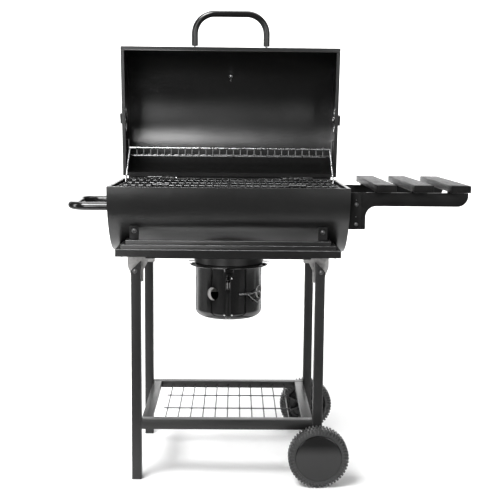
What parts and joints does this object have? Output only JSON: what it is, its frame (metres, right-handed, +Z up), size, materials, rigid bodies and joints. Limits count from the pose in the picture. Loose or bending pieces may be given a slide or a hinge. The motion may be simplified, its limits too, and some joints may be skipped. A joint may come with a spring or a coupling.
{
  "type": "barrel charcoal grill trolley",
  "caption": "Half-barrel charcoal grill on a wheeled trolley, with hinged lid, linked warming rack, ash pot, wire shelf and slatted side table.",
  "frame": {"origin": "on the floor under the middle of the whole object's box, lid open", "axes": "+X to the side table's end, along the barrel; +Y to the back, where the lid hinges; +Z up"},
  "size_m": [1.0431, 0.6144, 1.2384],
  "materials": {
    "black_enamel": "satin black heat paint with fine orange peel",
    "black_paint": "semi-matt black powder coat",
    "painted_wood": "black-stained wood, satin, faint grain",
    "gloss_tube": "glossy black enamel",
    "dark_fastener": "blackened steel",
    "bright_steel": "zinc-plated steel",
    "galvanised": "galvanised sheet, dull",
    "chrome_wire": "bright chrome wire",
    "raw_iron": "bare iron wire",
    "dial_glass": "clear glass",
    "needle_red": "red painted needle",
    "black_plastic": "matt black moulded plastic",
    "pot_enamel": "deep gloss black enamel"
  },
  "bodies": {
    "cart": {"barrel_shell": "black_enamel", "barrel_end_left": "black_enamel", "barrel_end_right": "black_enamel", "frame_front_rail": "black_paint", "frame_rear_rail": "black_paint", "frame_side_left": "black_paint", "frame_side_right": "black_paint", "barrel_tabs": "black_paint", "frame_bolts": "dark_fastener", "leg_front_left": "black_paint", "leg_rear_left": "black_paint", "leg_front_right": "black_paint", "leg_rear_right": "black_paint", "leg_brackets": "galvanised", "leg_plugs": "black_plastic", "shelf_front_rail": "black_paint", "shelf_rear_rail": "black_paint", "shelf_side_rails": "black_paint", "shelf_grid": "black_paint", "axle": "bright_steel", "axle_caps": "bright_steel", "ash_collar": "black_paint", "pot_clips": "galvanised", "side_handle": "gloss_tube", "handle_screws": "bright_steel", "table_brackets": "black_paint", "table_arms": "black_paint", "slat_inner": "painted_wood", "slat_middle": "painted_wood", "slat_outer": "painted_wood", "slat_screws": "dark_fastener", "grate_ledges": "black_paint", "coal_supports": "black_paint", "hinge_barrel_leaves": "black_paint", "hinge_pins": "bright_steel"},
    "lid": {"lid_shell": "black_enamel", "lid_end_left": "black_enamel", "lid_end_right": "black_enamel", "lid_handle": "gloss_tube", "lid_handle_screws": "bright_steel", "hinge_lid_leaves": "black_paint", "thermometer_case": "chrome_wire", "thermometer_stem": "chrome_wire", "thermometer_glass": "dial_glass"},
    "needle": {"thermometer_needle": "needle_red"},
    "damper_left": {"vent_left": "black_plastic"},
    "damper_right": {"vent_right": "black_plastic"},
    "strut": {"rack_strut": "chrome_wire"},
    "rack": {"warming_rack": "chrome_wire"},
    "charcoal": {"coal_grate": "raw_iron"},
    "cooking_left": {"grate_left": "chrome_wire"},
    "cooking_right": {"grate_right": "chrome_wire"},
    "pot": {"ash_pot": "pot_enamel", "pot_handle": "pot_enamel"},
    "air_ring": {"damper_ring": "galvanised", "damper_wire": "chrome_wire"},
    "wheel_front": {"front_wheel": "black_plastic", "front_hub_cap": "black_plastic"},
    "wheel_rear": {"rear_wheel": "black_plastic", "rear_hub_cap": "black_plastic"}
  },
  "joints": [
    {"name": "lid_hinge", "type": "hinge", "parent": "cart", "child": "lid", "pos_m": [-0.0945, 0.14583, 0.7645], "axis": [1, 0, 0], "range_deg": [0, 83]},
    {"name": "strut_pivot", "type": "hinge", "parent": "cart", "child": "strut", "pos_m": [-0.0945, 0.06847, 0.74228], "axis": [1, 0, 0], "range_deg": [0, 83]},
    {"name": "rack_pivot", "type": "hinge", "parent": "lid", "child": "rack", "pos_m": [-0.0945, 0.22719, 0.87323], "axis": [1, 0, 0], "range_deg": [-83, 0]},
    {"name": "vent_left_turn", "type": "hinge", "parent": "lid", "child": "damper_left", "pos_m": [-0.4045, 0.22013, 0.93482], "axis": [1, 0, 0], "range_deg": [-16, 29]},
    {"name": "vent_right_turn", "type": "hinge", "parent": "lid", "child": "damper_right", "pos_m": [0.2155, 0.22013, 0.93482], "axis": [1, 0, 0], "range_deg": [-16, 29]},
    {"name": "needle_turn", "type": "hinge", "parent": "lid", "child": "needle", "pos_m": [-0.0945, 0.27368, 1.07074], "axis": [0, -0.788, -0.6157], "range_deg": [0, 250], "stiffness_Nm_per_rad": 0.0005},
    {"name": "charcoal_lift", "type": "slide", "parent": "cart", "child": "charcoal", "axis": [0, 0, 1], "range_m": [0, 0.09]},
    {"name": "grate_left_lift", "type": "slide", "parent": "cart", "child": "cooking_left", "axis": [0, 0, 1], "range_m": [0, 0.04]},
    {"name": "grate_right_lift", "type": "slide", "parent": "cart", "child": "cooking_right", "axis": [0, 0, 1], "range_m": [0, 0.04]},
    {"name": "pot_lower", "type": "slide", "parent": "cart", "child": "pot", "axis": [0, 0, -1], "range_m": [0, 0.12]},
    {"name": "air_ring_turn", "type": "hinge", "parent": "pot", "child": "air_ring", "pos_m": [-0.0945, -0.04417, 0.4724], "axis": [0, 0, 1], "range_deg": [-10, 10]},
    {"name": "front_wheel_spin", "type": "hinge", "parent": "cart", "child": "wheel_front", "pos_m": [0.1405, -0.28167, 0.078], "axis": [0, 1, 0], "continuous": true},
    {"name": "rear_wheel_spin", "type": "hinge", "parent": "cart", "child": "wheel_rear", "pos_m": [0.1405, 0.19333, 0.078], "axis": [0, 1, 0], "continuous": true}
  ],
  "couplings": [
    {"joint": "strut_pivot", "follows": "lid_hinge", "ratio": 1},
    {"joint": "rack_pivot", "follows": "lid_hinge", "ratio": -1}
  ]
}
